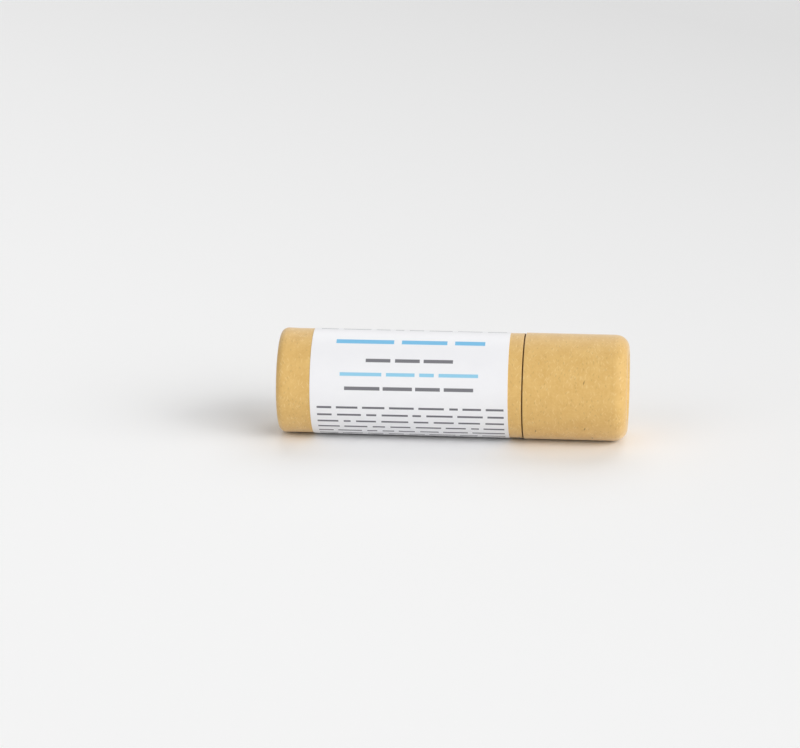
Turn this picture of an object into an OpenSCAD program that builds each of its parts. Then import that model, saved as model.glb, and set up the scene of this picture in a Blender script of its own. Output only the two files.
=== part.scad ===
// Push-up lip balm stick in a wound paper tube, lying on its side with the cap on.
// The tube's axis runs along +X, from the base rim to the cap. Z = 0 is the table.

/* [Overall] */
// Length of the closed stick
overall_l = 70; // [60:0.5:90]
// Diameter of the body barrel over its facing paper
body_d = 21; // [18:0.1:28]
// Length of the cap, from its mouth to its end
cap_l = 20.65; // [17:0.05:26]
// Open line between the body and the cap
joint_gap = 0.25; // [0.1:0.05:0.6]

/* [Paper plies] */
// Kraft facing paper on the body and on the cap
facing_t = 0.2; // [0.12:0.01:0.3]
// Wound board of the body sleeve
body_board_t = 0.55; // [0.4:0.05:0.8]
// Facing paper on the neck
neck_facing_t = 0.15; // [0.1:0.01:0.25]
// Wound board of the neck tube
neck_board_t = 0.5; // [0.35:0.05:0.8]
// Greaseproof liner inside the neck tube
liner_t = 0.1; // [0.06:0.01:0.2]
// Wound board of the cap
cap_board_t = 0.5; // [0.35:0.05:0.8]
// Smooth lining ply inside the cap
cap_lining_t = 0.12; // [0.08:0.01:0.2]
// Width of the seam where a facing sheet's two edges meet
seam_w = 0.2; // [0.1:0.05:0.4]
// Place of the body's seam round the tube, from the rear side upwards
body_seam_at = 55; // [0:1:359]
// How far the cap's seam is turned from the body's
cap_seam_turn = -10; // [-180:1:180]

/* [Rolled rims] */
// Radius of the rolled rim's section at the base
base_roll_r = 1.5; // [1.4:0.05:1.8]
// How far the base rim stands proud of the barrel
base_roll_proud = 0.15; // [0.12:0.01:0.25]
// Radius of the bend at the cap's end; its paper then curls back half as wide
cap_bend_r = 2.7; // [2.3:0.05:3]
// Height pressed flat on the crest of each rolled rim
rim_flat_h = 0.06; // [0.02:0.01:0.12]

/* [Neck and fits] */
// Distance from the neck's top edge to the inside of the cap's end
neck_to_cap_end = 2.6; // [1:0.1:4]
// Radial clearance between the cap's lining and the neck
cap_fit = 0.08; // [0.04:0.01:0.15]
// Radial clearance between the plunger and the neck's liner
plunger_fit = 0.08; // [0.04:0.01:0.12]

/* [Plunger and balm] */
// Height of the plunger's ring
ring_h = 7.6; // [5:0.1:12]
// Wall of the plunger's ring
ring_t = 0.35; // [0.25:0.05:0.7]
// Thickness of the disc that the finger pushes
push_disc_t = 1.1; // [0.8:0.1:2]
// Greaseproof paper disc between the plunger and the balm
barrier_t = 0.15; // [0.1:0.01:0.3]
// Distance from the balm's top up to the neck's edge
balm_recess = 2.1; // [1:0.1:6]
// Depth of the shrink dimple in the balm's top
dimple_h = 0.5; // [0.2:0.1:0.9]
// Width of the shrink dimple
dimple_d = 12; // [8:0.5:15]

/* [Cap end] */
// Board disc that closes the cap
end_disc_t = 0.9; // [0.6:0.1:1.6]
// Smooth paper disc glued under it
inner_disc_t = 0.15; // [0.1:0.01:0.3]

/* [Label] */
// Paper and adhesive together
label_t = 0.1; // [0.06:0.01:0.12]
// Bare paper between the base end and the label
label_base_margin = 6.9; // [5:0.1:12]
// Bare paper between the label and the body's edge at the cap
label_cap_margin = 2.7; // [1:0.1:8]
// Width of the strip that the label leaves bare round the tube
bare_strip_w = 6.9; // [2:0.1:20]
// How far that strip reaches past the body's seam on its upper side
strip_past_seam = 3.1; // [0.5:0.1:6]

/* [Hidden] */
$fn = 96;

// radii, from the outside of the body inwards
body_r = body_d / 2;
neck_r = body_r - facing_t - body_board_t;
liner_or = neck_r - neck_facing_t - neck_board_t;
liner_ir = liner_or - liner_t;
plunger_r = liner_ir - plunger_fit;
ring_ir = plunger_r - ring_t;

// radii of the cap, from the neck outwards
cap_ir = neck_r + cap_fit;
cap_board_ir = cap_ir + cap_lining_t;
cap_r = cap_board_ir + cap_board_t + facing_t;

// the stick lies on whichever stands out most
rim_r = body_r + base_roll_proud;
rest_r = max(rim_r, cap_r, body_r + label_t);

// places along the tube, from the base end
base_roll_h = 2 * base_roll_r - rim_flat_h;
cap_curl_r = cap_bend_r / 2;
cap_curl_h = 2 * cap_curl_r - rim_flat_h;
cap_from = overall_l - cap_l;
body_l = cap_from - joint_gap;
end_disc_from = overall_l - cap_curl_h - end_disc_t;
inner_disc_from = end_disc_from - inner_disc_t;
neck_top = inner_disc_from - neck_to_cap_end;
ring_top = base_roll_h + ring_h;
push_disc_from = ring_top - push_disc_t;
balm_from = ring_top + barrier_t;
balm_top = neck_top - balm_recess;
label_to = body_l - label_cap_margin;

// places round the tube
label_start = body_seam_at + arc_angle(strip_past_seam);
label_sweep = 360 - arc_angle(bare_strip_w);

// the dimple is a shallow cap of a large ball
dimple_r = (pow(dimple_d / 2, 2) + dimple_h * dimple_h) / (2 * dimple_h);

// a cut reaches this far past the surface that it opens
over = 1;

kraft = "#dcb778";
board = "#b98f58";
paper_white = "#f2f2f2";
liner_white = "#d9d4c8";
wax = "#f3ead0";

// turns what is drawn along +Z to lie along +X, centred on the origin, on the table
module lay() {
    translate([-overall_l / 2, 0, rest_r]) rotate([0, 90, 0]) children();
}

// angle about +Z, before lay(), of a place round the tube
function turned(at) = at + 90;

// angle that an arc of a given length takes on the body barrel
function arc_angle(arc) = arc / body_r * 180 / PI;

// plain tube from z = from to z = to
module tube(ro, ri, from, to) {
    rotate_extrude() translate([ri, from]) square([ro - ri, to - from]);
}

// one ply of a wall whose end bends inwards at z = 0 and curls back up to its free edge;
// depth is how far the ply's face lies inside the wall's
module rolled_ply(wall_r, wall_l, bend_r, curl_r, proud, depth, ply_t) {
    crest_r = wall_r + proud - bend_r;
    bend_at = [crest_r, bend_r - rim_flat_h];
    curl_at = [crest_r, curl_r - rim_flat_h];
    ply_ir = wall_r - depth - ply_t;
    rotate_extrude() intersection() {
        square([wall_r + proud, wall_l]);
        union() {
            difference() {
                union() {
                    translate([ply_ir, bend_at.y]) square([ply_t, wall_l]);
                    intersection() {
                        translate(bend_at) circle(r = bend_r - depth);
                        translate([crest_r, 0]) square([bend_r, wall_l]);
                    }
                }
                translate(bend_at) circle(r = bend_r - depth - ply_t);
                translate(bend_at) square([ply_ir - crest_r, wall_l]);
            }
            difference() {
                translate(curl_at) circle(r = curl_r - depth);
                translate(curl_at) circle(r = curl_r - depth - ply_t);
                translate([crest_r, 0]) square([curl_r, 2 * curl_r]);
            }
        }
    }
}

// the slit where a facing sheet's edges meet, at a place round the tube
module seam_slit(at, r, from, to) {
    rotate([0, 0, turned(at)]) translate([0, -seam_w / 2, from]) cube([r, seam_w, to - from]);
}

module body_sleeve() {
    color(board) lay()
        rolled_ply(body_r, body_l, base_roll_r, base_roll_r, base_roll_proud, facing_t,
                   body_board_t);
}

module body_wrap() {
    color(kraft) lay() difference() {
        rolled_ply(body_r, body_l, base_roll_r, base_roll_r, base_roll_proud, 0, facing_t);
        seam_slit(body_seam_at, rim_r + over, -over, body_l + over);
    }
}

module neck_tube() {
    color(board) lay() tube(neck_r - neck_facing_t, liner_or, base_roll_h, neck_top);
}

module neck_wrap() {
    color(kraft) lay() tube(neck_r, neck_r - neck_facing_t, base_roll_h, neck_top);
}

module neck_liner() {
    color(liner_white) lay() tube(liner_or, liner_ir, base_roll_h, neck_top);
}

// paper label, open along a strip that shows the body's seam
module label() {
    color(paper_white) lay() rotate([0, 0, turned(label_start)])
        rotate_extrude(angle = label_sweep)
            translate([body_r, label_base_margin]) square([label_t, label_to - label_base_margin]);
}

// skirt of the plunger, standing on the rolled rim
module push_ring() {
    color(liner_white) lay() tube(plunger_r, ring_ir, base_roll_h, ring_top);
}

module push_disc() {
    color(kraft) lay() translate([0, 0, push_disc_from]) cylinder(r = ring_ir, h = push_disc_t);
}

module barrier_disc() {
    color(liner_white) lay() translate([0, 0, ring_top]) cylinder(r = plunger_r, h = barrier_t);
}

module balm() {
    color(wax) lay() difference() {
        translate([0, 0, balm_from]) cylinder(r = plunger_r, h = balm_top - balm_from);
        translate([0, 0, balm_top - dimple_h + dimple_r]) sphere(r = dimple_r);
    }
}

// turns what is drawn from z = 0 upwards end for end, so that z = 0 is the cap's end
module from_cap_end() {
    translate([0, 0, overall_l]) mirror([0, 0, 1]) children();
}

module cap_sleeve() {
    color(board) lay() from_cap_end()
        rolled_ply(cap_r, cap_l, cap_bend_r, cap_curl_r, 0, facing_t, cap_board_t);
}

module cap_wrap() {
    color(kraft) lay() difference() {
        from_cap_end() rolled_ply(cap_r, cap_l, cap_bend_r, cap_curl_r, 0, 0, facing_t);
        seam_slit(body_seam_at + cap_seam_turn, cap_r + over, cap_from - over, overall_l + over);
    }
}

module cap_lining() {
    color(liner_white) lay() tube(cap_board_ir, cap_ir, cap_from, end_disc_from + end_disc_t);
}

module cap_end_disc() {
    color(kraft) lay() translate([0, 0, end_disc_from]) cylinder(r = cap_ir, h = end_disc_t);
}

module cap_inner_disc() {
    color(liner_white) lay() translate([0, 0, inner_disc_from]) cylinder(r = cap_ir, h = inner_disc_t);
}

body_sleeve();
body_wrap();
neck_tube();
neck_wrap();
neck_liner();
label();
push_ring();
push_disc();
barrier_disc();
balm();
cap_sleeve();
cap_wrap();
cap_lining();
cap_end_disc();
cap_inner_disc();
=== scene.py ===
import math
import bpy
import numpy as np
from mathutils import Matrix, Vector


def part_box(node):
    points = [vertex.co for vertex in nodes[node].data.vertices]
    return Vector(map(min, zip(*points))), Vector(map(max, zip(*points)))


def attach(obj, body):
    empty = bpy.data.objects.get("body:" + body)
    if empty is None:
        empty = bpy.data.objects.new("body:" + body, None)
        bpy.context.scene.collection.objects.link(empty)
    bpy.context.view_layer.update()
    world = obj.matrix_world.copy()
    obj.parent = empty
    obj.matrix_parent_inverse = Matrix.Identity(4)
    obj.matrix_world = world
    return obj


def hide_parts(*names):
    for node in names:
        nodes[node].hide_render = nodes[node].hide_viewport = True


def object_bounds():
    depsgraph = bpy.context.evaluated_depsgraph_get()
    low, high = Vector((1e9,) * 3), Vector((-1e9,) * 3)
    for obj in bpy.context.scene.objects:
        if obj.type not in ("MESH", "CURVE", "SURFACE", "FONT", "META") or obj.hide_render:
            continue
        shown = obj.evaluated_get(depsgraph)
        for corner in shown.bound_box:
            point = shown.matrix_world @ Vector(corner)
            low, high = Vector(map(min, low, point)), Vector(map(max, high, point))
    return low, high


# Push-up lip balm stick in a wound paper tube, lying on a pale floor with its cap on.
# The tube runs along +X. Sizes are in mm unless a comment says metres; Blender takes metres.

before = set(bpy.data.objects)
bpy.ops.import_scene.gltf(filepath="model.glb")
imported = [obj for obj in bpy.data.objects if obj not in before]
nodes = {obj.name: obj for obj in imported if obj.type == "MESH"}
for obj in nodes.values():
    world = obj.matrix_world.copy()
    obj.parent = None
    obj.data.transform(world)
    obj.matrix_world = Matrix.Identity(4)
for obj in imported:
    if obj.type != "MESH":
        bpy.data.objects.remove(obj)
cadLow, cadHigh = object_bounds()
print("frame loaded:", len(nodes), "CAD nodes")

mm = 0.001
sheetUnit = 160.0  # mm of paper to one unit of a piece's UV map
cutEnd = 0.2  # mm of that map that a sheet's closed cut end takes
sharpAngle = 38.0  # degrees between two faces, from which their shared edge is drawn sharp
axisHeight = cadHigh.z / mm / 2  # the stick lies on its widest rims


def span(node):
    # where a CAD node starts and ends, in mm from the base end, and its outer radius
    low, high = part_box(node)
    return (low.x - cadLow.x) / mm, (high.x - cadLow.x) / mm, -low.y / mm


def linear(hexColour):
    # an sRGB hex colour as the linear one that the shaders take, by the sRGB curve
    parts = [int(hexColour[i:i + 2], 16) / 255 for i in (1, 3, 5)]
    return [c / 12.92 if c <= 0.04045 else ((c + 0.055) / 1.055) ** 2.4 for c in parts] + [1.0]


def addNode(tree, kind, settings=None, links=None):
    # adds one shader node, gives it its settings and joins its inputs to other nodes
    made = tree.nodes.new(kind)
    for name, value in (settings or {}).items():
        if isinstance(name, str) and hasattr(made, name):
            setattr(made, name, value)
        else:
            made.inputs[name].default_value = value
    for name, source in (links or {}).items():
        socket = source if isinstance(source, bpy.types.NodeSocket) else source.outputs[0]
        tree.links.new(socket, made.inputs[name])
    return made


def newMaterial(name, shaderSettings):
    # a material that holds one shader and its output
    made = bpy.data.materials.new(name)
    made.use_nodes = True
    tree = made.node_tree
    tree.nodes.clear()
    shader = addNode(tree, "ShaderNodeBsdfPrincipled", shaderSettings)
    addNode(tree, "ShaderNodeOutputMaterial", links={"Surface": shader})
    return made, tree, shader


def mixColour(tree, amount, first, second):
    # second colour laid over the first by an amount, each a hex colour or another node's colour
    settings = {"data_type": "RGBA"}
    links = {}
    for index, value in ((0, amount), (6, first), (7, second)):
        if isinstance(value, (int, float)):
            settings[index] = value
        elif isinstance(value, str):
            settings[index] = linear(value)
        else:
            links[index] = value
    return addNode(tree, "ShaderNodeMix", settings, links).outputs[2]


def setSurface(tree, shader, colour, height, bump, rough=None):
    # joins a surface's colour, its roughness and its fine relief, given as strength and depth in mm
    tree.links.new(colour, shader.inputs["Base Color"])
    if rough is not None:
        tree.links.new(rough.outputs[0], shader.inputs["Roughness"])
    strength, depth = bump
    raised = addNode(tree, "ShaderNodeBump", {
        "Strength": strength, "Distance": depth * mm}, {"Height": height})
    tree.links.new(raised.outputs[0], shader.inputs["Normal"])


cameraSettings = {
    "place": (58.1, -737.2, 238.0),  # from the floor under the stick's middle
    "aim": (-14.7, 39.9, 0.2),
    "roll": -0.132,  # degrees
    "lens": 173.07,
    "sensor": 36.0,
    "clip": (0.01, 20.0),  # metres
}


def makeCamera(settings):
    # looks from its place to its aim, turned about that line by the roll
    data = bpy.data.cameras.new("photoCamera")
    data.sensor_fit = "HORIZONTAL"
    data.sensor_width = settings["sensor"]
    data.lens = settings["lens"]
    data.clip_start, data.clip_end = settings["clip"]
    made = bpy.data.objects.new("photoCamera", data)
    place = Vector(settings["place"])
    forward = (Vector(settings["aim"]) - place).normalized()
    side = forward.cross(Vector((0, 0, 1))).normalized()
    above = side.cross(forward)
    roll = math.radians(settings["roll"])
    right = side * math.cos(roll) + above * math.sin(roll)
    up = above * math.cos(roll) - side * math.sin(roll)
    facing = Matrix((right, up, -forward)).transposed().to_4x4()
    made.matrix_world = Matrix.Translation(place * mm) @ facing
    bpy.context.scene.collection.objects.link(made)
    bpy.context.scene.camera = made


makeCamera(cameraSettings)

floorSettings = {
    "radius": 3.4,  # metres, wide enough to fill every view
    "columns": 96,
    # painted falloff of light: the floor's colour runs from near to far, darker where less light would
    # reach
    "near": "#fbfbfb",
    "far": "#e3e3e3",
    "roughness": 0.85,
    "specular": 0.2,
    "fadeFrom": -150.0,  # the ground greys from here to fadeTo, towards the back and the right
    "fadeTo": 450.0,
    "fadeSideways": 0.9,
    "fadeCurve": 1.5,
}


def makeFloor(settings):
    # a flat round floor, level with the underside of the stick's rims
    angles = np.arange(settings["columns"]) * 2 * math.pi / settings["columns"]
    rim = np.stack([np.cos(angles), np.sin(angles), 0 * angles], 1) * settings["radius"]
    mesh = bpy.data.meshes.new("floor")
    mesh.from_pydata(rim.tolist(), [], [list(range(len(rim)))])
    made = bpy.data.objects.new("floor", mesh)
    bpy.context.scene.collection.objects.link(made)
    # matt paper sweep whose colour greys a little with distance towards the back and the right: a
    # painted falloff of light
    material, tree, shader = newMaterial("mattPaperSweep", {
        "Roughness": settings["roughness"], "Specular IOR Level": settings["specular"]})
    place = addNode(tree, "ShaderNodeTexCoord").outputs["Object"]
    toBack = addNode(tree, "ShaderNodeVectorMath", {
        "operation": "DOT_PRODUCT", 1: (settings["fadeSideways"], 1.0, 0.0),
    }, {0: place}).outputs["Value"]
    share = addNode(tree, "ShaderNodeMapRange", {
        "From Min": settings["fadeFrom"] * mm, "From Max": settings["fadeTo"] * mm,
    }, {"Value": toBack})
    paintedFalloff = addNode(tree, "ShaderNodeMath", {
        "operation": "POWER", 1: settings["fadeCurve"]}, {0: share})
    ground = mixColour(tree, paintedFalloff, settings["near"], settings["far"])
    tree.links.new(ground, shader.inputs["Base Color"])
    mesh.materials.append(material)


makeFloor(floorSettings)

lightSettings = {
    "ambient": 0.33,  # strength of the even white room
    "backdrop": "#e0e0e0",
    "lamps": [
        {"name": "keyWindow", "strength": 1.22, "angle": 40.0, "from": (1.0, -1.0, 0.8)},
        {"name": "sideWindow", "strength": 1.05, "angle": 40.0, "from": (1.0, -0.3, 0.5)},
        {"name": "fillWindow", "strength": 0.42, "angle": 40.0, "from": (-1.0, -1.0, 0.8)},
        {"name": "backWindow", "strength": 0.86, "angle": 50.0, "from": (0.12, 0.85, 0.95)},
    ],
}


def makeLight(settings):
    # an even pale room with four wide soft windows, the brightest two at the cap's side in front;
    # its backdrop shows behind the stick and in whatever mirrors it, and lights nothing else
    scene = bpy.context.scene
    scene.view_settings.view_transform = "Standard"
    world = bpy.data.worlds.new("paleRoom")
    scene.world = world
    world.use_nodes = True
    tree = world.node_tree
    tree.nodes.clear()
    seen = addNode(tree, "ShaderNodeLightPath")
    room = addNode(tree, "ShaderNodeBackground", {
        "Color": (1, 1, 1, 1), "Strength": settings["ambient"]})
    backdrop = addNode(tree, "ShaderNodeBackground", {
        "Color": linear(settings["backdrop"]), "Strength": 1.0})
    shown = seen.outputs["Is Camera Ray"]
    for kind in ("Is Glossy Ray", "Is Transmission Ray"):
        shown = addNode(tree, "ShaderNodeMath", {
            "operation": "MAXIMUM"}, {0: shown, 1: seen.outputs[kind]})
    mixed = addNode(tree, "ShaderNodeMixShader", links={0: shown, 1: room, 2: backdrop})
    addNode(tree, "ShaderNodeOutputWorld", links={"Surface": mixed})
    for lamp in settings["lamps"]:
        data = bpy.data.lights.new(lamp["name"], "SUN")
        data.energy = lamp["strength"]
        data.angle = math.radians(lamp["angle"])
        made = bpy.data.objects.new(lamp["name"], data)
        made.rotation_mode = "QUATERNION"
        made.rotation_quaternion = Vector(lamp["from"]).to_track_quat("Z", "Y")
        scene.collection.objects.link(made)


makeLight(lightSettings)
print("camera, floor and light made")


def softWaves(along, angle, seed, reach, longest, count=7):
    # the mean of a few cosine waves along the tube, each with whole turns round it
    random = np.random.default_rng(seed)
    total = np.zeros(np.broadcast(along, angle).shape)
    for _ in range(count):
        turns = random.integers(0, 7)
        pitch = longest * random.uniform(0.35, 1.0)
        total += np.cos(2 * math.pi * along / pitch + turns * angle + random.uniform(0, 6.28))
    return reach * total / count


def faintWaves(along, angle, settings):
    # long waves that only push the surface inwards, by up to the wave's full depth
    half = settings["wave"] / 2
    return softWaves(along, angle, settings["seed"], half, settings["waveLength"]) - half


def pathNormals(path):
    # unit vectors square to a path of (place, radius), to its left-hand side
    step = np.gradient(path, axis=0)
    step /= np.maximum(np.hypot(step[:, 0], step[:, 1]), 1e-9)[:, None]
    return np.stack([-step[:, 1], step[:, 0]], 1)


def arcPath(centre, radius, fromDegrees, toDegrees, count):
    # points of a circle's arc in (place, radius); 90 degrees points away from the tube's axis
    angles = np.radians(np.linspace(fromDegrees, toDegrees, count))
    return np.stack([centre[0] + radius * np.cos(angles), centre[1] + radius * np.sin(angles)], 1)


def finishMesh(name, points, faces, uvs, material, body, replaced, slot):
    # turns arrays of points, faces and face corners' UVs into a piece of the object; the sum of
    # a . (b x c) over all its triangles is below 0 where the faces point inwards; then they are turned
    volume = 0.0
    for block in faces:
        a = points[block[:, 0]]
        for k in range(1, block.shape[1] - 1):
            volume += np.sum(a * np.cross(points[block[:, k]], points[block[:, k + 1]]))
    if volume < 0:
        faces = [f[:, ::-1] for f in faces]
        uvs = [u[:, ::-1] for u in uvs]
    mesh = bpy.data.meshes.new(name)
    mesh.from_pydata((points * mm).tolist(), [], [row for f in faces for row in f.tolist()])
    layer = mesh.uv_layers.new(name="sheet")
    corners = np.concatenate([u.reshape(-1, 2) for u in uvs]) / sheetUnit
    layer.uv.foreach_set("vector", corners.ravel())
    mesh.shade_smooth()
    mesh.set_sharp_from_angle(angle=math.radians(sharpAngle))
    mesh.materials.append(material)
    made = bpy.data.objects.new(name, mesh)
    bpy.context.scene.collection.objects.link(made)
    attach(made, body)
    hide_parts(*replaced)
    print(name, "made:", len(mesh.polygons), "faces")


def onTube(place, radius, angle):
    # place along the tube, distance from its axis and angle round it, as a point in mm
    return np.stack(np.broadcast_arrays(
        place + cadLow.x / mm, radius * np.cos(angle), axisHeight + radius * np.sin(angle)), -1)


def cumulative(path):
    # the distance run along a path up to each of its points
    steps = np.hypot(*np.diff(path, axis=0).T)
    return np.concatenate([[0], np.cumsum(steps)])


def quadCorners(u, u2, v, v2):
    # the corners of four-sided faces on the sheet, from u to u2 along it and from v to v2 across
    corners = ((u, v), (u2, v), (u2, v2), (u, v2))
    return np.stack([np.stack(corner, 1) for corner in corners], 1)


def turnedBand(outer, inner, columns, start=0.0, sweep=360.0, slit=0.0, relief=None,
               scale=None, tilt=0.0):
    # a thin wall turned round the tube: the closed line outer + reversed inner is swept through
    # the angle; a slit keeps the same width at every radius, and both of its ends are closed; a
    # tilt lays the sheet on askew, turned by that many radians about the middle of its front;
    # scale is the radius at which the sheet's width is measured
    loop = np.vstack([outer, inner[::-1]])
    along = cumulative(np.vstack([loop, loop[:1]]))
    whole = sweep >= 360.0 and slit == 0.0
    count = len(loop)
    share = np.arange(columns) / columns if whole else np.linspace(0, 1, columns)
    trim = np.arcsin(slit / 2 / loop[:, 1])[:, None]
    begin, turn = math.radians(start) + trim, math.radians(sweep) - 2 * trim
    angle = begin + turn * share[None, :]
    place = np.repeat(loop[:, :1], columns, 1)
    radius = np.repeat(loop[:, 1:], columns, 1)
    if relief is not None:
        half = len(outer) // 2
        normal = pathNormals(outer)
        if np.dot(normal[half], outer[half] - inner[half]) < 0:
            normal = -normal
        push = relief(along[:len(outer), None], angle[:len(outer)])
        place[:len(outer)] += normal[:, :1] * push
        radius[:len(outer)] += normal[:, 1:] * push
    if tilt:
        around = (angle - math.pi) * scale
        angle = angle - tilt * (place - (place.min() + place.max()) / 2) / scale
        place = place + tilt * around
    points = onTube(place, radius, angle).reshape(-1, 3)
    rows = np.arange(count)
    cols = np.arange(columns if whole else columns - 1)
    i, j = [g.ravel() for g in np.meshgrid(rows, cols, indexing="ij")]
    i2, j2 = (i + 1) % count, (j + 1) % columns
    faces = [np.stack([
        i * columns + j, i2 * columns + j, i2 * columns + j2, i * columns + j2], 1)]
    unroll = (scale or outer[:, 1].max()) * math.radians(sweep)
    across = (np.append(share, 1.0) if whole else share) * unroll
    uvs = [quadCorners(along[i], along[i + 1], across[j], across[j + 1])]
    if not whole:
        k = np.arange(len(outer) - 1)
        back = count - 1 - k
        for column, edge in ((0, 0.0), (columns - 1, unroll)):
            strip = np.stack([k, k + 1, back - 1, back], 1) * columns + column
            faces.append(strip[:, ::-1] if column == 0 else strip)
            ends = quadCorners(along[k], along[k + 1], 0 * k + edge, 0 * k + edge + cutEnd)
            uvs.append(ends[:, ::-1] if column == 0 else ends)
    return points, faces, uvs


def turnedSolid(path, columns, relief):
    # a solid turned round the tube's axis: path runs from one pole on the axis to the other, and
    # relief moves its points along the tube
    along = cumulative(path)
    angle = np.arange(columns)[None, :] * 2 * math.pi / columns
    place = np.repeat(path[1:-1, :1], columns, 1)
    radius = np.repeat(path[1:-1, 1:], columns, 1)
    rings = onTube(place + relief(radius, angle, place), radius, angle).reshape(-1, 3)
    ends = onTube(path[[0, -1], 0], path[[0, -1], 1], np.zeros(2))
    ends[:, 0] += relief(np.zeros((2, 1)), np.zeros((1, 1)), path[[0, -1], :1])[:, 0]
    points = np.vstack([rings, ends])
    count = len(path) - 2
    i, j = [g.ravel() for g in np.meshgrid(np.arange(count - 1), np.arange(columns), indexing="ij")]
    j2 = (j + 1) % columns
    here, beyond = i * columns, (i + 1) * columns
    faces = [np.stack([here + j, beyond + j, beyond + j2, here + j2], 1)]
    scale = path[:, 1].max() * 2 * math.pi / columns
    uvs = [quadCorners(along[i + 1], along[i + 2], j * scale, (j + 1) * scale)]
    j = np.arange(columns)
    j2 = (j + 1) % columns
    poles = (
        (count * columns, 0, 0.0, along[1]),
        (count * columns + 1, count - 1, along[-1], along[-2]),
    )
    for pole, ring, tip, base in poles:
        fan = np.stack([0 * j + pole, ring * columns + j, ring * columns + j2], 1)
        corners = np.stack([
            np.stack([0 * j + tip, (j + 0.5) * scale], 1),
            np.stack([0 * j + base, j * scale], 1),
            np.stack([0 * j + base, (j + 1) * scale], 1),
        ], 1)
        faces.append(fan if ring == 0 else fan[:, ::-1])
        uvs.append(corners if ring == 0 else corners[:, ::-1])
    return points, faces, uvs


kraftSettings = {
    "name": "kraftFacingPaper",
    "colour": "#e0b972",
    "dark": "#d5ab63",
    "pale": "#e7c78a",
    "fibreLight": "#f4dca6",
    "fibreDark": "#5e3a14",
    "cloud": 2.6,  # mm across a cloud in the sheet
    "grain": 0.42,  # mm across a tuft of fibres
    "streak": (0.5, 6.0),  # mm along the tube and round it, of the calender streaks
    "tufts": (1.6, 0.38),  # mm: cell that holds one short raised tuft of fibres
    "tuftShare": 0.12,
    "tuftTone": 0.27,
    "pits": (1.1, 0.42),  # the same for the small dents beside them
    "pitShare": 0.08,
    "pitTone": 0.16,
    "specks": (1.7, 0.5),  # and for the dark bark specks
    "speckShare": 0.003,
    "speckTone": 0.6,
    "bend": 0.3,  # how far the fibres wander off their line
    "bends": 0.9,  # in a mm
    "rise": 0.4,  # shares of the relief that the tufts and the dents take
    "sink": 0.6,
    "bump": (0.3, 0.028),
    "roughness": (0.46, 0.62),
    "ior": 1.48,
    "specular": 0.34,
    "sheen": 0.42,
    "sheenRoughness": 0.4,
}


def sheetPlace(tree, fromUv=True):
    # the place on the sheet in mm, from the piece's own UV map, or from Object coordinates
    if fromUv:
        source = addNode(tree, "ShaderNodeUVMap", {"uv_map": "sheet"})
        return addNode(tree, "ShaderNodeVectorMath", {
            "operation": "SCALE", "Scale": sheetUnit}, {0: source})
    source = addNode(tree, "ShaderNodeTexCoord").outputs["Object"]
    return addNode(tree, "ShaderNodeVectorMath", {"operation": "SCALE", "Scale": 1 / mm}, {0: source})


def fibreMask(tree, place, cell, share, turns, seed):
    # long Voronoi cells, laid at several turns; one fibre mark lies in the middle of a chosen cell
    total = None
    for number, turn in enumerate(turns):
        laid = addNode(tree, "ShaderNodeMapping", {
            "vector_type": "TEXTURE",
            "Location": (seed + 3.7 * number, seed * 1.3, 0),
            "Rotation": (0, 0, math.radians(turn)),
            "Scale": (*cell, 1.0),
        }, {"Vector": place})
        cells = addNode(tree, "ShaderNodeTexVoronoi", {
            "voronoi_dimensions": "2D", "Scale": 1.0}, {"Vector": laid})
        near = addNode(tree, "ShaderNodeMapRange", {
            "From Min": 0.12, "From Max": 0.34, "To Min": 1.0, "To Max": 0.0,
        }, {"Value": cells.outputs["Distance"]})
        chance = addNode(tree, "ShaderNodeSeparateColor", links={"Color": cells.outputs["Color"]})
        kept = addNode(tree, "ShaderNodeMath", {"operation": "LESS_THAN", 1: share}, {0: chance})
        lit = addNode(tree, "ShaderNodeMath", {"operation": "MULTIPLY"}, {0: near, 1: kept})
        total = lit if total is None else addNode(
            tree, "ShaderNodeMath", {"operation": "MAXIMUM"}, {0: total, 1: lit})
    return total


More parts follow.
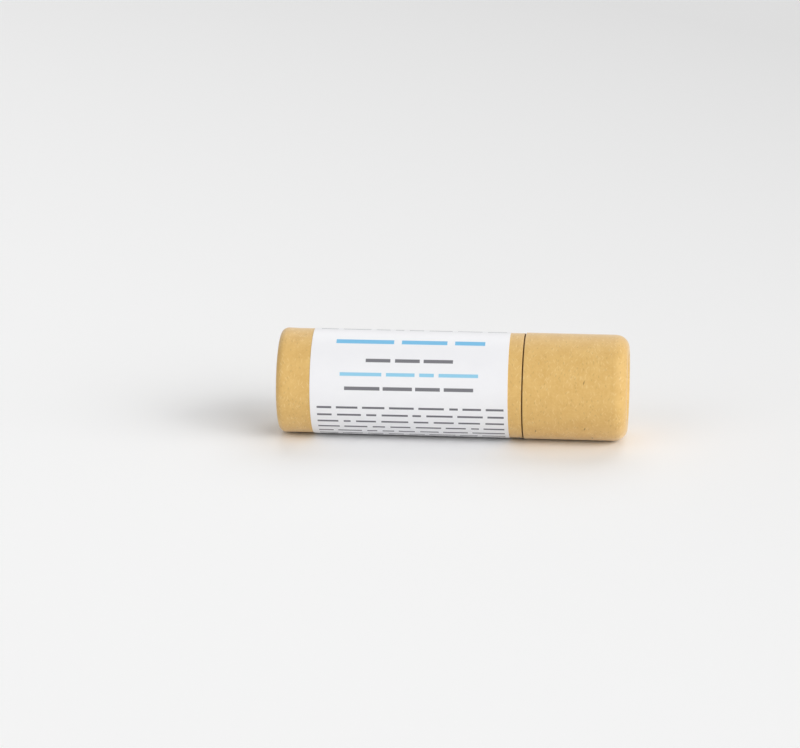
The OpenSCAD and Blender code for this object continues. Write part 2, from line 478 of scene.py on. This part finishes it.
def kraftPaper(settings):
    # kraft liner, unbleached pulp pressed and calendered: a warm tan sheet, faintly clouded, with
    # short raised tufts, small dents and a few dark specks, and a silky sheen where it turns away
    material, tree, shader = newMaterial(settings["name"], {
        "IOR": settings["ior"], "Specular IOR Level": settings["specular"],
        "Sheen Weight": settings["sheen"], "Sheen Roughness": settings["sheenRoughness"],
    })
    place = sheetPlace(tree)
    wander = addNode(tree, "ShaderNodeTexNoise", {
        "Scale": settings["bends"], "Detail": 1.0}, {"Vector": place})
    centred = addNode(tree, "ShaderNodeVectorMath", {
        "operation": "MULTIPLY_ADD", 1: (settings["bend"],) * 3, 2: (-settings["bend"] / 2,) * 3,
    }, {0: wander.outputs[1]})
    bent = addNode(tree, "ShaderNodeVectorMath", {"operation": "ADD"}, {0: place, 1: centred})
    cloud = addNode(tree, "ShaderNodeTexNoise", {
        "Scale": 1 / settings["cloud"], "Detail": 5.0, "Roughness": 0.6}, {"Vector": place})
    grain = addNode(tree, "ShaderNodeTexNoise", {
        "Scale": 1 / settings["grain"], "Detail": 2.0, "Roughness": 0.6}, {"Vector": bent})
    drawn = addNode(tree, "ShaderNodeMapping", {
        "vector_type": "TEXTURE", "Scale": (*settings["streak"], 1.0)}, {"Vector": place})
    streak = addNode(tree, "ShaderNodeTexNoise", {"Scale": 1.0, "Detail": 2.0}, {"Vector": drawn})
    tufts = fibreMask(tree, bent, settings["tufts"], settings["tuftShare"], (62, 88, 121), 2.0)
    pits = fibreMask(tree, bent, settings["pits"], settings["pitShare"], (75, 112), 5.0)
    specks = fibreMask(tree, bent, settings["specks"], settings["speckShare"], (31, 104), 23.0)

    cloudy = addNode(tree, "ShaderNodeMapRange", {"From Min": 0.3, "From Max": 0.7}, {"Value": cloud})
    tone = mixColour(tree, cloudy, settings["dark"], settings["colour"])
    paleBy = addNode(tree, "ShaderNodeMapRange", {
        "From Min": 0.45, "From Max": 0.85, "To Max": 0.5}, {"Value": grain})
    tone = mixColour(tree, paleBy, tone, settings["pale"])
    streakBy = addNode(tree, "ShaderNodeMapRange", {
        "From Min": 0.45, "From Max": 0.8, "To Max": 0.5}, {"Value": streak})
    tone = mixColour(tree, streakBy, tone, settings["dark"])
    for mask, strength, laid in ((tufts, "tuftTone", "fibreLight"), (pits, "pitTone", "fibreDark"),
                                 (specks, "speckTone", "fibreDark")):
        share = addNode(tree, "ShaderNodeMath", {
            "operation": "MULTIPLY", 1: settings[strength]}, {0: mask})
        tone = mixColour(tree, share, tone, settings[laid])
    if "jointShade" in settings:
        # painted shade: a dark band at one place along the tube, standing in for the shade in the gap
        # between the body and the cap's mouth
        inFrame = sheetPlace(tree, fromUv=False)
        along = addNode(tree, "ShaderNodeSeparateXYZ", links={0: inFrame}).outputs["X"]
        middle, half, strength = settings["jointShade"]
        away = addNode(tree, "ShaderNodeMath", {
            "operation": "SUBTRACT", 1: middle + cadLow.x / mm}, {0: along})
        away = addNode(tree, "ShaderNodeMath", {"operation": "ABSOLUTE"}, {0: away})
        shadedBy = addNode(tree, "ShaderNodeMapRange", {
            "From Min": half * 0.7, "From Max": half * 1.3, "To Min": strength, "To Max": 0.0,
        }, {"Value": away})
        tone = mixColour(tree, shadedBy, tone, settings["jointShadeColour"])

    rough = addNode(tree, "ShaderNodeMapRange", {
        "To Min": settings["roughness"][0], "To Max": settings["roughness"][1]}, {"Value": grain})
    raised = addNode(tree, "ShaderNodeMath", {
        "operation": "MULTIPLY_ADD", 1: settings["rise"]}, {0: tufts, 2: grain})
    raised = addNode(tree, "ShaderNodeMath", {
        "operation": "MULTIPLY_ADD", 1: -settings["sink"]}, {0: pits, 2: raised})
    setSurface(tree, shader, tone, raised, settings["bump"], rough)
    return material


kraft = kraftPaper(kraftSettings)

labelThickness = 0.1
labelStart, labelStop, labelRadius = span("label")
bodyRadius = labelRadius - labelThickness
bodyEnd = span("body_wrap")[1]
capStart, capStop, capRadius = span("cap_wrap")

bodyFacingSettings = {
    "ply": 0.195,  # facing paper, a hair under the CAD ply so that it clears the board
    "bendRadius": 1.41,
    "curlRadius": 1.5,
    "proud": 0.06,  # how far the roll stands out past the barrel
    "crestCut": 0.06,  # how far the crest of the roll is pressed flat
    "crestSoft": 0.02,  # how softly the pressed crest starts
    "crestInside": 0.14,  # least distance of the sheet's inner face from the end of the tube
    "cutEdge": 0.07,
    "soften": 0.22,
    "swell": 2.3,  # length of wall over which the roll comes to stand proud
    "slit": 0.2,  # width of the seam
    "seamAt": 55.0,  # degrees from the rear side upwards
    "fineStep": 0.05,  # between the rim's points while it is softened
    "wallRows": 42,
    "columns": 360,
    "wave": 0.012,
    "waveLength": 20.0,
    "pleats": 57,
    "pleatDepth": 0.03,
    "seed": 3,
}
capFacingSettings = {
    **bodyFacingSettings,
    "bendRadius": 2.7,
    "curlRadius": 1.35,
    "proud": 0.0,
    "cutEdge": 0.1,
    "soften": 0.4,
    "seamAt": 45.0,
    "wallRows": 16,
    "wave": 0.014,
    "pleats": 61,
    "pleatDepth": 0.035,
    "seed": 8,
}


def smoothStep(t):
    # 0 up to t = 0 and 1 from t = 1 on, with an even S between them
    t = np.clip(t, 0, 1)
    return t * t * (3 - 2 * t)


def evenly(path, spacing):
    # the same line with points at equal steps along it
    reach = cumulative(path)
    steps = np.linspace(0, reach[-1], int(reach[-1] / spacing) + 1)
    return np.stack([np.interp(steps, reach, path[:, k]) for k in (0, 1)], 1)


def softened(path, spacing, spread):
    # each point becomes the bell-weighted mean of its neighbours, less so near the two ends
    side = round(3 * spread / spacing)
    weights = np.exp(-0.5 * (np.arange(-side, side + 1) * spacing / spread) ** 2)
    weights /= weights.sum()
    padded = np.pad(path, ((side, side), (0, 0)), mode="edge")
    mean = np.stack([np.convolve(padded[:, k], weights, mode="valid") for k in (0, 1)], 1)
    fromStart = np.arange(len(path)) * spacing
    keep = smoothStep(np.minimum(fromStart, fromStart[::-1]) / (3 * spread))[:, None]
    return path + (mean - path) * keep


def rolledPaths(endPlace, radius, settings, mirrorAt=None):
    # the outer and inner line of a facing sheet: from its cut edge along the wall, over the bend
    # at place 0 and round into its curl, or turned end for end at mirrorAt
    bend, curl, proud = settings["bendRadius"], settings["curlRadius"], settings["proud"]
    crest = radius + proud - bend
    bendPlace, curlPlace = bend - settings["crestCut"], curl - settings["crestCut"]
    edge, fine = settings["cutEdge"], settings["fineStep"]
    corner = arcPath((endPlace - edge, radius - edge), edge, 0, 90, 5)
    wallPlaces = np.linspace(endPlace - 0.4, bendPlace + 4.0, settings["wallRows"])
    wall = np.stack([wallPlaces, np.full_like(wallPlaces, radius)], 1)
    nearPlaces = np.linspace(bendPlace + 3.9, bendPlace + 0.05, 60)
    proudBy = proud * smoothStep(1 - (nearPlaces - bendPlace) / settings["swell"])
    near = np.stack([nearPlaces, radius + proudBy], 1)
    over = arcPath((bendPlace, crest), bend, 90, 180, 60)
    under = arcPath((curlPlace, crest), curl, 180, 360, 90)[1:]
    rim = softened(evenly(np.vstack([near, over, under]), fine), fine, settings["soften"])[::4]
    outer = np.vstack([corner, wall, rim])
    inward = pathNormals(outer)
    inward *= -np.sign(inward[len(corner) + 3, 1])
    inner = outer + settings["ply"] * inward
    inner[0] = (endPlace, radius - settings["ply"])
    outer[:, 0] = (outer[:, 0] + np.hypot(outer[:, 0], settings["crestSoft"])) / 2
    inner[:, 0] = np.maximum(inner[:, 0], settings["crestInside"])
    if mirrorAt is not None:
        outer[:, 0] = mirrorAt - outer[:, 0]
        inner[:, 0] = mirrorAt - inner[:, 0]
    return outer, inner


def makeFacing(name, node, body, endPlace, radius, settings, mirrorAt=None):
    # a facing sheet with long faint waves along its wall and fine pleats inside its curl
    outer, inner = rolledPaths(endPlace, radius, settings, mirrorAt)
    curlFrom = cumulative(outer)[-1] - math.pi * settings["curlRadius"]

    def relief(along, angle):
        wall = faintWaves(along, angle, settings)
        curled = smoothStep((along - curlFrom) / (1.2 * settings["curlRadius"]))
        uneven = 2.2 * np.sin(5 * angle) + 1.4 * np.sin(11 * angle)
        pleat = 0.5 + 0.5 * np.cos(settings["pleats"] * angle + uneven)
        return wall * (1 - curled) - settings["pleatDepth"] * curled * pleat ** 2

    made = turnedBand(outer, inner, settings["columns"], start=settings["seamAt"],
                      slit=settings["slit"], relief=relief)
    finishMesh(name, *made, kraft, body, [node], "kraft_facing")


makeFacing("bodyFacing", "body_wrap", "tube", bodyEnd, bodyRadius, bodyFacingSettings)
makeFacing("capFacing", "cap_wrap", "cap", capStop - capStart, capRadius, capFacingSettings,
           mirrorAt=capStop)

labelSettings = {
    "name": "satinLabelPaper",
    "paper": "#f0f0f2",
    "shade": "#ebebee",
    "cloud": 4.0,
    "tooth": 0.25,  # grain of the sheet
    "bump": (0.12, 0.01),
    "roughness": (0.42, 0.6),  # of the bare sheet and of the ink
    "inkEdge": 0.03,  # half the width over which the ink ends
    "lift": 0.004,  # clear of the body's facing
    "stripWidth": 6.9,
    "stripPastSeam": 3.1,
    "tilt": 0.0075,  # radians that it is stuck on askew
    "cutEdge": 0.04,
    "columns": 340,
    "rows": [  # mm from the label's upper edge and from its edge at the base; plain bars, no letters
        {"top": 1.9, "pitch": 1.9, "count": 1, "half": 0.2,
         "from": 1.3, "to": 38.7, "word": 3.6, "gap": 1.1, "ink": "#8b8b90"},
        {"top": 7.75, "pitch": 4.0, "count": 1, "half": 0.6,
         "from": 4.8, "to": 34.6, "word": 9.0, "gap": 1.5, "ink": "#74bbe2"},
        {"top": 12.44, "pitch": 1.9, "count": 1, "half": 0.38,
         "from": 11.0, "to": 28.5, "word": 5.2, "gap": 0.8, "ink": "#75757a"},
        {"top": 15.34, "pitch": 1.9, "count": 1, "half": 0.36,
         "from": 5.9, "to": 33.5, "word": 5.4, "gap": 0.9, "ink": "#90cae5"},
        {"top": 18.18, "pitch": 1.8, "count": 1, "half": 0.36,
         "from": 6.9, "to": 32.6, "word": 6.4, "gap": 0.7, "ink": "#75757a"},
        {"top": 22.25, "pitch": 1.765, "count": 9, "half": 0.24,
         "from": 1.3, "to": 38.7, "word": 3.9, "gap": 1.0, "ink": "#6e6e74"},
        {"top": 48.8, "pitch": 1.9, "count": 2, "half": 0.24,
         "from": 8.2, "to": 31.4, "word": 4.2, "gap": 0.8, "ink": "#6e6e74"},
    ],
}


def wordRamp(tree, along, width, row, number):
    # bars of uneven length, stretched to fill the row from edge to edge: a stepped ramp that is
    # white from each bar's start to its end
    random = np.random.default_rng(int(10 * row["top"]) + 31 * number)
    room = row["to"] - row["from"]
    count = round(room / (row["word"] + row["gap"]))
    lengths = random.uniform(0.4, 1.6, count)
    lengths *= (room - (count - 1) * row["gap"]) / lengths.sum()
    starts = row["from"] + np.concatenate([[0], np.cumsum(lengths[:-1] + row["gap"])])
    edges = np.stack([starts, starts + lengths], 1).ravel() / width
    share = addNode(tree, "ShaderNodeMath", {"operation": "MULTIPLY", 1: 1 / width}, {0: along})
    ramp = addNode(tree, "ShaderNodeValToRGB", links={0: share})
    ramp.color_ramp.interpolation = "CONSTANT"
    steps = ramp.color_ramp.elements
    steps.remove(steps[1])
    steps[0].color = (0, 0, 0, 1)
    for order, edge in enumerate(edges):
        steps.new(edge).color = (0, 0, 0, 1) if order % 2 else (1, 1, 1, 1)
    return ramp


def printRow(tree, along, across, width, row, number, inkEdge):
    # ink of one printed row: its bars, wherever the sheet is close enough to the row's middle line
    middle = row["top"] + number * row["pitch"]
    off = addNode(tree, "ShaderNodeMath", {"operation": "SUBTRACT", 1: middle}, {0: across})
    off = addNode(tree, "ShaderNodeMath", {"operation": "ABSOLUTE"}, {0: off})
    inRow = addNode(tree, "ShaderNodeMapRange", {
        "From Min": row["half"] - inkEdge, "From Max": row["half"] + inkEdge,
        "To Min": 1.0, "To Max": 0.0,
    }, {"Value": off})
    words = wordRamp(tree, along, width, row, number)
    return addNode(tree, "ShaderNodeMath", {"operation": "MULTIPLY"}, {0: inRow, 1: words})


def labelPaper(settings):
    # satin label stock, cut and printed: a faintly blue white sheet under matt ink
    material, tree, shader = newMaterial(settings["name"], {
        "IOR": 1.5, "Specular IOR Level": 0.45, "Sheen Weight": 0.05,
    })
    place = sheetPlace(tree)
    axes = addNode(tree, "ShaderNodeSeparateXYZ", links={0: place}).outputs
    cloud = addNode(tree, "ShaderNodeTexNoise", {
        "Scale": 1 / settings["cloud"], "Detail": 5.0, "Roughness": 0.6}, {"Vector": place})
    tone = mixColour(tree, cloud, settings["paper"], settings["shade"])
    width = labelStop - labelStart
    inked = None
    for row in settings["rows"]:
        for number in range(row["count"]):
            ink = printRow(tree, axes["X"], axes["Y"], width, row, number, settings["inkEdge"])
            tone = mixColour(tree, ink, tone, row["ink"])
            inked = ink if inked is None else addNode(
                tree, "ShaderNodeMath", {"operation": "MAXIMUM"}, {0: inked, 1: ink})
    bare, printed = settings["roughness"]
    rough = addNode(tree, "ShaderNodeMapRange", {
        "To Min": bare, "To Max": printed}, {"Value": inked})
    tooth = addNode(tree, "ShaderNodeTexNoise", {
        "Scale": 1 / settings["tooth"], "Detail": 3.0}, {"Vector": place})
    setSurface(tree, shader, tone, tooth, settings["bump"], rough)
    return material


def makeLabel(settings):
    # the sheet stands one ply off the body and stops short of itself over the body's seam
    first = bodyFacingSettings["seamAt"] + math.degrees(settings["stripPastSeam"] / bodyRadius)
    sweep = 360 - math.degrees(settings["stripWidth"] / bodyRadius)
    edge = settings["cutEdge"]
    wall = np.linspace(labelStart + 0.5, labelStop - 0.5, 60)
    places = np.concatenate([[labelStart, labelStart + edge], wall, [labelStop - edge, labelStop]])
    outer = np.stack([places, np.full_like(places, labelRadius)], 1)
    outer[[0, -1], 1] -= edge
    inner = np.stack([places, np.full_like(places, bodyRadius + settings["lift"])], 1)
    made = turnedBand(outer, inner, settings["columns"], first, sweep, scale=labelRadius,
                      tilt=settings["tilt"])
    finishMesh("wrapLabel", *made, labelPaper(settings), "tube", ["label"], "label_paper")


makeLabel(labelSettings)
print("facings and label made")

neckFacingSettings = {
    **kraftSettings,
    "name": "rubbedKraftPaper",
    "colour": "#d2aa68",
    "dark": "#c69b58",
    "pale": "#dcb97a",
    # painted shade: a dark band at the neck's root, where the gap under the cap's mouth lies in shade
    "jointShade": (bodyEnd + 0.12, 0.4, 0.75),  # mm from the base end, half width, strength
    "jointShadeColour": "#7d420c",
    "roughness": (0.4, 0.5),
    "specular": 0.2,
    "sheen": 0.1,
    "ply": 0.145,
    "cutEdge": 0.06,
    "columns": 300,
    "wave": 0.012,
    "waveLength": 16.0,
    "seed": 21,
}


def straightPaths(start, stop, outerRadius, innerRadius, edge, rows):
    # the outer and inner line of a straight wall whose outer corners are worn round
    first = arcPath((start + edge, outerRadius - edge), edge, 180, 90, 5)
    last = arcPath((stop - edge, outerRadius - edge), edge, 90, 0, 5)
    places = np.linspace(start + 2 * edge, stop - 2 * edge, rows)
    outer = np.vstack([first, np.stack([places, np.full_like(places, outerRadius)], 1), last])
    inner = np.stack([outer[:, 0], np.full(len(outer), innerRadius)], 1)
    return outer, inner


def makeNeckFacing(settings):
    # the neck is rubbed smooth by the cap, and a painted shade band darkens it where it leaves the body,
    # for the gap under the cap's mouth
    start, stop, radius = span("neck_wrap")
    outer, inner = straightPaths(
        start, stop, radius, radius - settings["ply"], settings["cutEdge"], 70)

    def relief(along, angle):
        return faintWaves(along, angle, settings)

    made = turnedBand(outer, inner, settings["columns"], relief=relief)
    finishMesh("neckFacing", *made, kraftPaper(settings), "tube", ["neck_wrap"], "kraft_facing")


makeNeckFacing(neckFacingSettings)

boardSettings = {
    "name": "woundBoard",
    "colour": "#b58d58",
    "dark": "#8f6a3c",
    "ply": 0.11,  # one wound layer
    "plyShare": 0.22,  # how strongly the layers show beside the grain
    "grain": 0.5,
    "bump": (0.4, 0.03),
    "roughness": 0.82,
    "specular": 0.3,
}


def woundBoard(settings):
    # grey-brown tube board, wound in thin glued layers: a cut edge shows them as fine rings
    material, tree, shader = newMaterial(settings["name"], {
        "Roughness": settings["roughness"], "Specular IOR Level": settings["specular"]})
    place = sheetPlace(tree, fromUv=False)
    centred = addNode(tree, "ShaderNodeVectorMath", {
        "operation": "SUBTRACT", 1: (0, 0, axisHeight)}, {0: place})
    across = addNode(tree, "ShaderNodeVectorMath", {"operation": "MULTIPLY", 1: (0, 1, 1)}, {0: centred})
    radius = addNode(tree, "ShaderNodeVectorMath", {"operation": "LENGTH"}, {0: across}).outputs["Value"]
    layers = addNode(tree, "ShaderNodeMath", {
        "operation": "MULTIPLY", 1: 2 * math.pi / settings["ply"]}, {0: radius})
    rings = addNode(tree, "ShaderNodeMath", {"operation": "SINE"}, {0: layers})
    grain = addNode(tree, "ShaderNodeTexNoise", {
        "Scale": 1 / settings["grain"], "Detail": 4.0, "Roughness": 0.65}, {"Vector": place})
    mixed = addNode(tree, "ShaderNodeMath", {
        "operation": "MULTIPLY_ADD", 1: settings["plyShare"]}, {0: rings, 2: grain})
    share = addNode(tree, "ShaderNodeMapRange", {"From Min": 0.2, "From Max": 0.8}, {"Value": mixed})
    tone = mixColour(tree, share, settings["dark"], settings["colour"])
    setSurface(tree, shader, tone, mixed, settings["bump"])
    return material


greaseproofSettings = {
    "name": "greaseproofPaper",
    "colour": "#dcd8cc",
    "thin": "#cbc5b4",
    "cloud": 1.8,
    "bump": (0.15, 0.02),
    "roughness": (0.28, 0.46),
}


def greaseproofPaper(settings):
    # glassine-like greaseproof paper, beaten and calendered: grey-white, cloudy and a little glossy
    material, tree, shader = newMaterial(settings["name"], {"IOR": 1.5, "Specular IOR Level": 0.5})
    place = sheetPlace(tree, fromUv=False)
    cloud = addNode(tree, "ShaderNodeTexNoise", {
        "Scale": 1 / settings["cloud"], "Detail": 5.0, "Roughness": 0.6}, {"Vector": place})
    share = addNode(tree, "ShaderNodeMapRange", {"From Min": 0.3, "From Max": 0.7}, {"Value": cloud})
    tone = mixColour(tree, share, settings["thin"], settings["colour"])
    smooth, coarse = settings["roughness"]
    rough = addNode(tree, "ShaderNodeMapRange", {
        "To Min": smooth, "To Max": coarse}, {"Value": cloud})
    setSurface(tree, shader, tone, cloud, settings["bump"], rough)
    return material


board = woundBoard(boardSettings)
greaseproof = greaseproofPaper(greaseproofSettings)

discBoardSettings = {
    "name": "millboardDisc",
    "colour": "#cfa262",
    "dark": "#b58746",
    "fibre": "#e8cb95",
    "grain": 0.42,  # mm
    "drawn": (3.4, 0.38),  # mm along and across the way the pulp was drawn
    "turn": 24.0,
    "fibres": (1.1, 0.24),  # mm: cell that holds one pale fibre
    "fibreShare": 0.05,
    "fibreTone": 0.28,
    "bump": (0.4, 0.03),
    "roughness": 0.78,
    "specular": 0.35,
}


def discBoard(settings):
    # punched brown millboard: its pulp is drawn out one way and holds short pale fibres
    material, tree, shader = newMaterial(settings["name"], {
        "Roughness": settings["roughness"], "Specular IOR Level": settings["specular"]})
    axes = addNode(tree, "ShaderNodeSeparateXYZ", links={0: sheetPlace(tree, fromUv=False)}).outputs
    face = addNode(tree, "ShaderNodeCombineXYZ", links={
        "X": axes["Y"], "Y": axes["Z"], "Z": axes["X"]})
    grain = addNode(tree, "ShaderNodeTexNoise", {
        "Scale": 1 / settings["grain"], "Detail": 4.0, "Roughness": 0.65}, {"Vector": face})
    drawn = addNode(tree, "ShaderNodeMapping", {
        "vector_type": "TEXTURE", "Rotation": (0, 0, math.radians(settings["turn"])),
        "Scale": (*settings["drawn"], 1.0)}, {"Vector": face})
    streak = addNode(tree, "ShaderNodeTexNoise", {"Scale": 1.0, "Detail": 3.0}, {"Vector": drawn})
    mixed = addNode(tree, "ShaderNodeMath", {"operation": "MULTIPLY_ADD", 1: 0.7}, {0: streak, 2: grain})
    share = addNode(tree, "ShaderNodeMapRange", {"From Min": 0.6, "From Max": 1.1}, {"Value": mixed})
    tone = mixColour(tree, share, settings["dark"], settings["colour"])
    fibres = fibreMask(tree, face, settings["fibres"], settings["fibreShare"], (10, 47, 104, 151), 4.0)
    fibreBy = addNode(tree, "ShaderNodeMath", {
        "operation": "MULTIPLY", 1: settings["fibreTone"]}, {0: fibres})
    tone = mixColour(tree, fibreBy, tone, settings["fibre"])
    setSurface(tree, shader, tone, mixed, settings["bump"])
    return material


millboard = discBoard(discBoardSettings)

pushDiscSettings = {"edge": 0.42, "dish": 0.1, "wave": 0.03, "columns": 200, "seed": 12}
capDiscSettings = {"edge": 0.22, "dish": 0.14, "wave": 0.03, "columns": 200, "seed": 17}


def makeDisc(name, node, body, settings):
    # a punched disc with pressed round edges, faces dished a little towards their middle
    start, stop, radius = span(node)
    edge = settings["edge"]
    face = np.linspace(0, radius - edge, 26)
    lower = np.stack([np.full_like(face, start), face], 1)
    upper = np.stack([np.full_like(face, stop), face[::-1]], 1)
    turnUp = arcPath((start + edge, radius - edge), edge, 180, 90, 7)[1:]
    turnOver = arcPath((stop - edge, radius - edge), edge, 90, 0, 7)[:-1]
    path = np.vstack([lower, turnUp, turnOver, upper])

    def relief(distance, angle, place):
        hollow = settings["dish"] * (1 - smoothStep(distance / (radius - edge)))
        rough = settings["wave"] * (0.5 + softWaves(distance, angle, settings["seed"], 0.5, 6.0))
        inwards = np.where(place < (start + stop) / 2, 1, -1)
        return inwards * (hollow + rough) * smoothStep((radius - distance) / (2 * edge))

    made = turnedSolid(path, settings["columns"], relief)
    finishMesh(name, *made, millboard, body, [node], "disc_board")


makeDisc("pushDisc", "push_disc", "pusher", pushDiscSettings)
makeDisc("capEndDisc", "cap_end_disc", "cap", capDiscSettings)

pushRingSettings = {
    "cutEdge": 0.08, "wave": 0.02, "waveLength": 8.0, "columns": 260, "seed": 5}


def makePushRing(settings):
    # the plunger's skirt: a short tube of greaseproof paper, its cut edges slightly rounded
    start, stop, radius = span("push_ring")
    wallWithin = span("push_disc")[2]
    outer, inner = straightPaths(start, stop, radius, wallWithin, settings["cutEdge"], 24)
    opening = np.array([1.0, 0.45, 0.15, 0.03]) * 0.8  # of the mouth, row by row, in cut edges
    inner[:4, 1] += settings["cutEdge"] * opening

    def relief(along, angle):
        return faintWaves(along, angle, settings)

    made = turnedBand(outer, inner, settings["columns"], relief=relief)
    finishMesh("pushRing", *made, greaseproof, "pusher", ["push_ring"], "greaseproof_paper")


makePushRing(pushRingSettings)

balmSettings = {
    "name": "beeswaxButterBalm",
    "colour": "#f7e4bc",
    "deep": "#f0d7a6",
    "dimple": 0.5,
    "dimpleReach": 7.6,
    "ripple": 0.02,
    "rippleStep": 1.15,
    "wave": 0.04,
    "waveLength": 9.0,
    "rim": 1.5,  # width at the wall over which the rings and the waves fade in
    "bump": (0.2, 0.03),
    "roughness": (0.28, 0.5),
    "edge": 0.14,
    "columns": 240,
    "seed": 33,
}


def balmWax(settings):
    # poured balm of wax and plant butter: creamy, slightly see-through, satin where it cooled
    material, tree, shader = newMaterial(settings["name"], {
        "IOR": 1.44, "Specular IOR Level": 0.5, "Subsurface Weight": 0.25,
        "Subsurface Radius": (0.0022, 0.0016, 0.0008),  # metres, for red, green and blue
        "Subsurface Scale": 1.0,
    })
    place = sheetPlace(tree, fromUv=False)
    cloud = addNode(tree, "ShaderNodeTexNoise", {
        "Scale": 0.3, "Detail": 4.0, "Roughness": 0.55}, {"Vector": place})
    share = addNode(tree, "ShaderNodeMapRange", {"From Min": 0.35, "From Max": 0.7}, {"Value": cloud})
    tone = mixColour(tree, share, settings["colour"], settings["deep"])
    fine = addNode(tree, "ShaderNodeTexNoise", {"Scale": 5.0, "Detail": 3.0}, {"Vector": place})
    smooth, coarse = settings["roughness"]
    rough = addNode(tree, "ShaderNodeMapRange", {
        "To Min": smooth, "To Max": coarse}, {"Value": fine})
    setSurface(tree, shader, tone, fine, settings["bump"], rough)
    return material


def makeBalm(settings):
    # the plug cools from the wall inwards: its top sinks in a smooth dimple with faint rings
    start, stop, radius = span("balm")
    edge = settings["edge"]
    bottom = np.linspace(0, radius - edge, 8)
    top = np.linspace(radius - edge, 0, 60)
    path = np.vstack([
        np.stack([np.full_like(bottom, start), bottom], 1),
        arcPath((start + edge, radius - edge), edge, 180, 90, 5)[1:],
        np.stack([np.linspace(start + 2, stop - 2, 24), np.full(24, radius)], 1),
        arcPath((stop - edge, radius - edge), edge, 90, 0, 6)[:-1],
        np.stack([np.full_like(top, stop), top], 1),
    ])

    def relief(distance, angle, place):
        sunk = settings["dimple"] * (1 - smoothStep(distance / settings["dimpleReach"]))
        drift = 0.9 * np.sin(2 * angle + 1)
        rings = 0.5 + 0.5 * np.cos(2 * math.pi * distance / settings["rippleStep"] + drift)
        slow = softWaves(distance, angle, settings["seed"], 0.5, settings["waveLength"])
        uneven = settings["ripple"] * rings + settings["wave"] * (0.5 + slow)
        falling = smoothStep((radius - distance) / settings["rim"])
        return np.where(place > stop - 0.5, -1.0, 0.0) * (sunk + uneven * falling)

    made = turnedSolid(path, settings["columns"], relief)
    finishMesh("balmPlug", *made, balmWax(settings), "pusher", ["balm"], "balm_wax")


makeBalm(balmSettings)


def paint(material, *names):
    # a CAD node whose shape is right keeps its mesh and takes a new finish
    for name in names:
        slots = nodes[name].data.materials
        slots.clear()
        slots.append(material)


paint(board, "body_sleeve", "neck_tube", "cap_sleeve")
paint(greaseproof, "neck_liner", "barrier_disc", "cap_lining", "cap_inner_disc")
print("neck, plunger, balm and linings made")
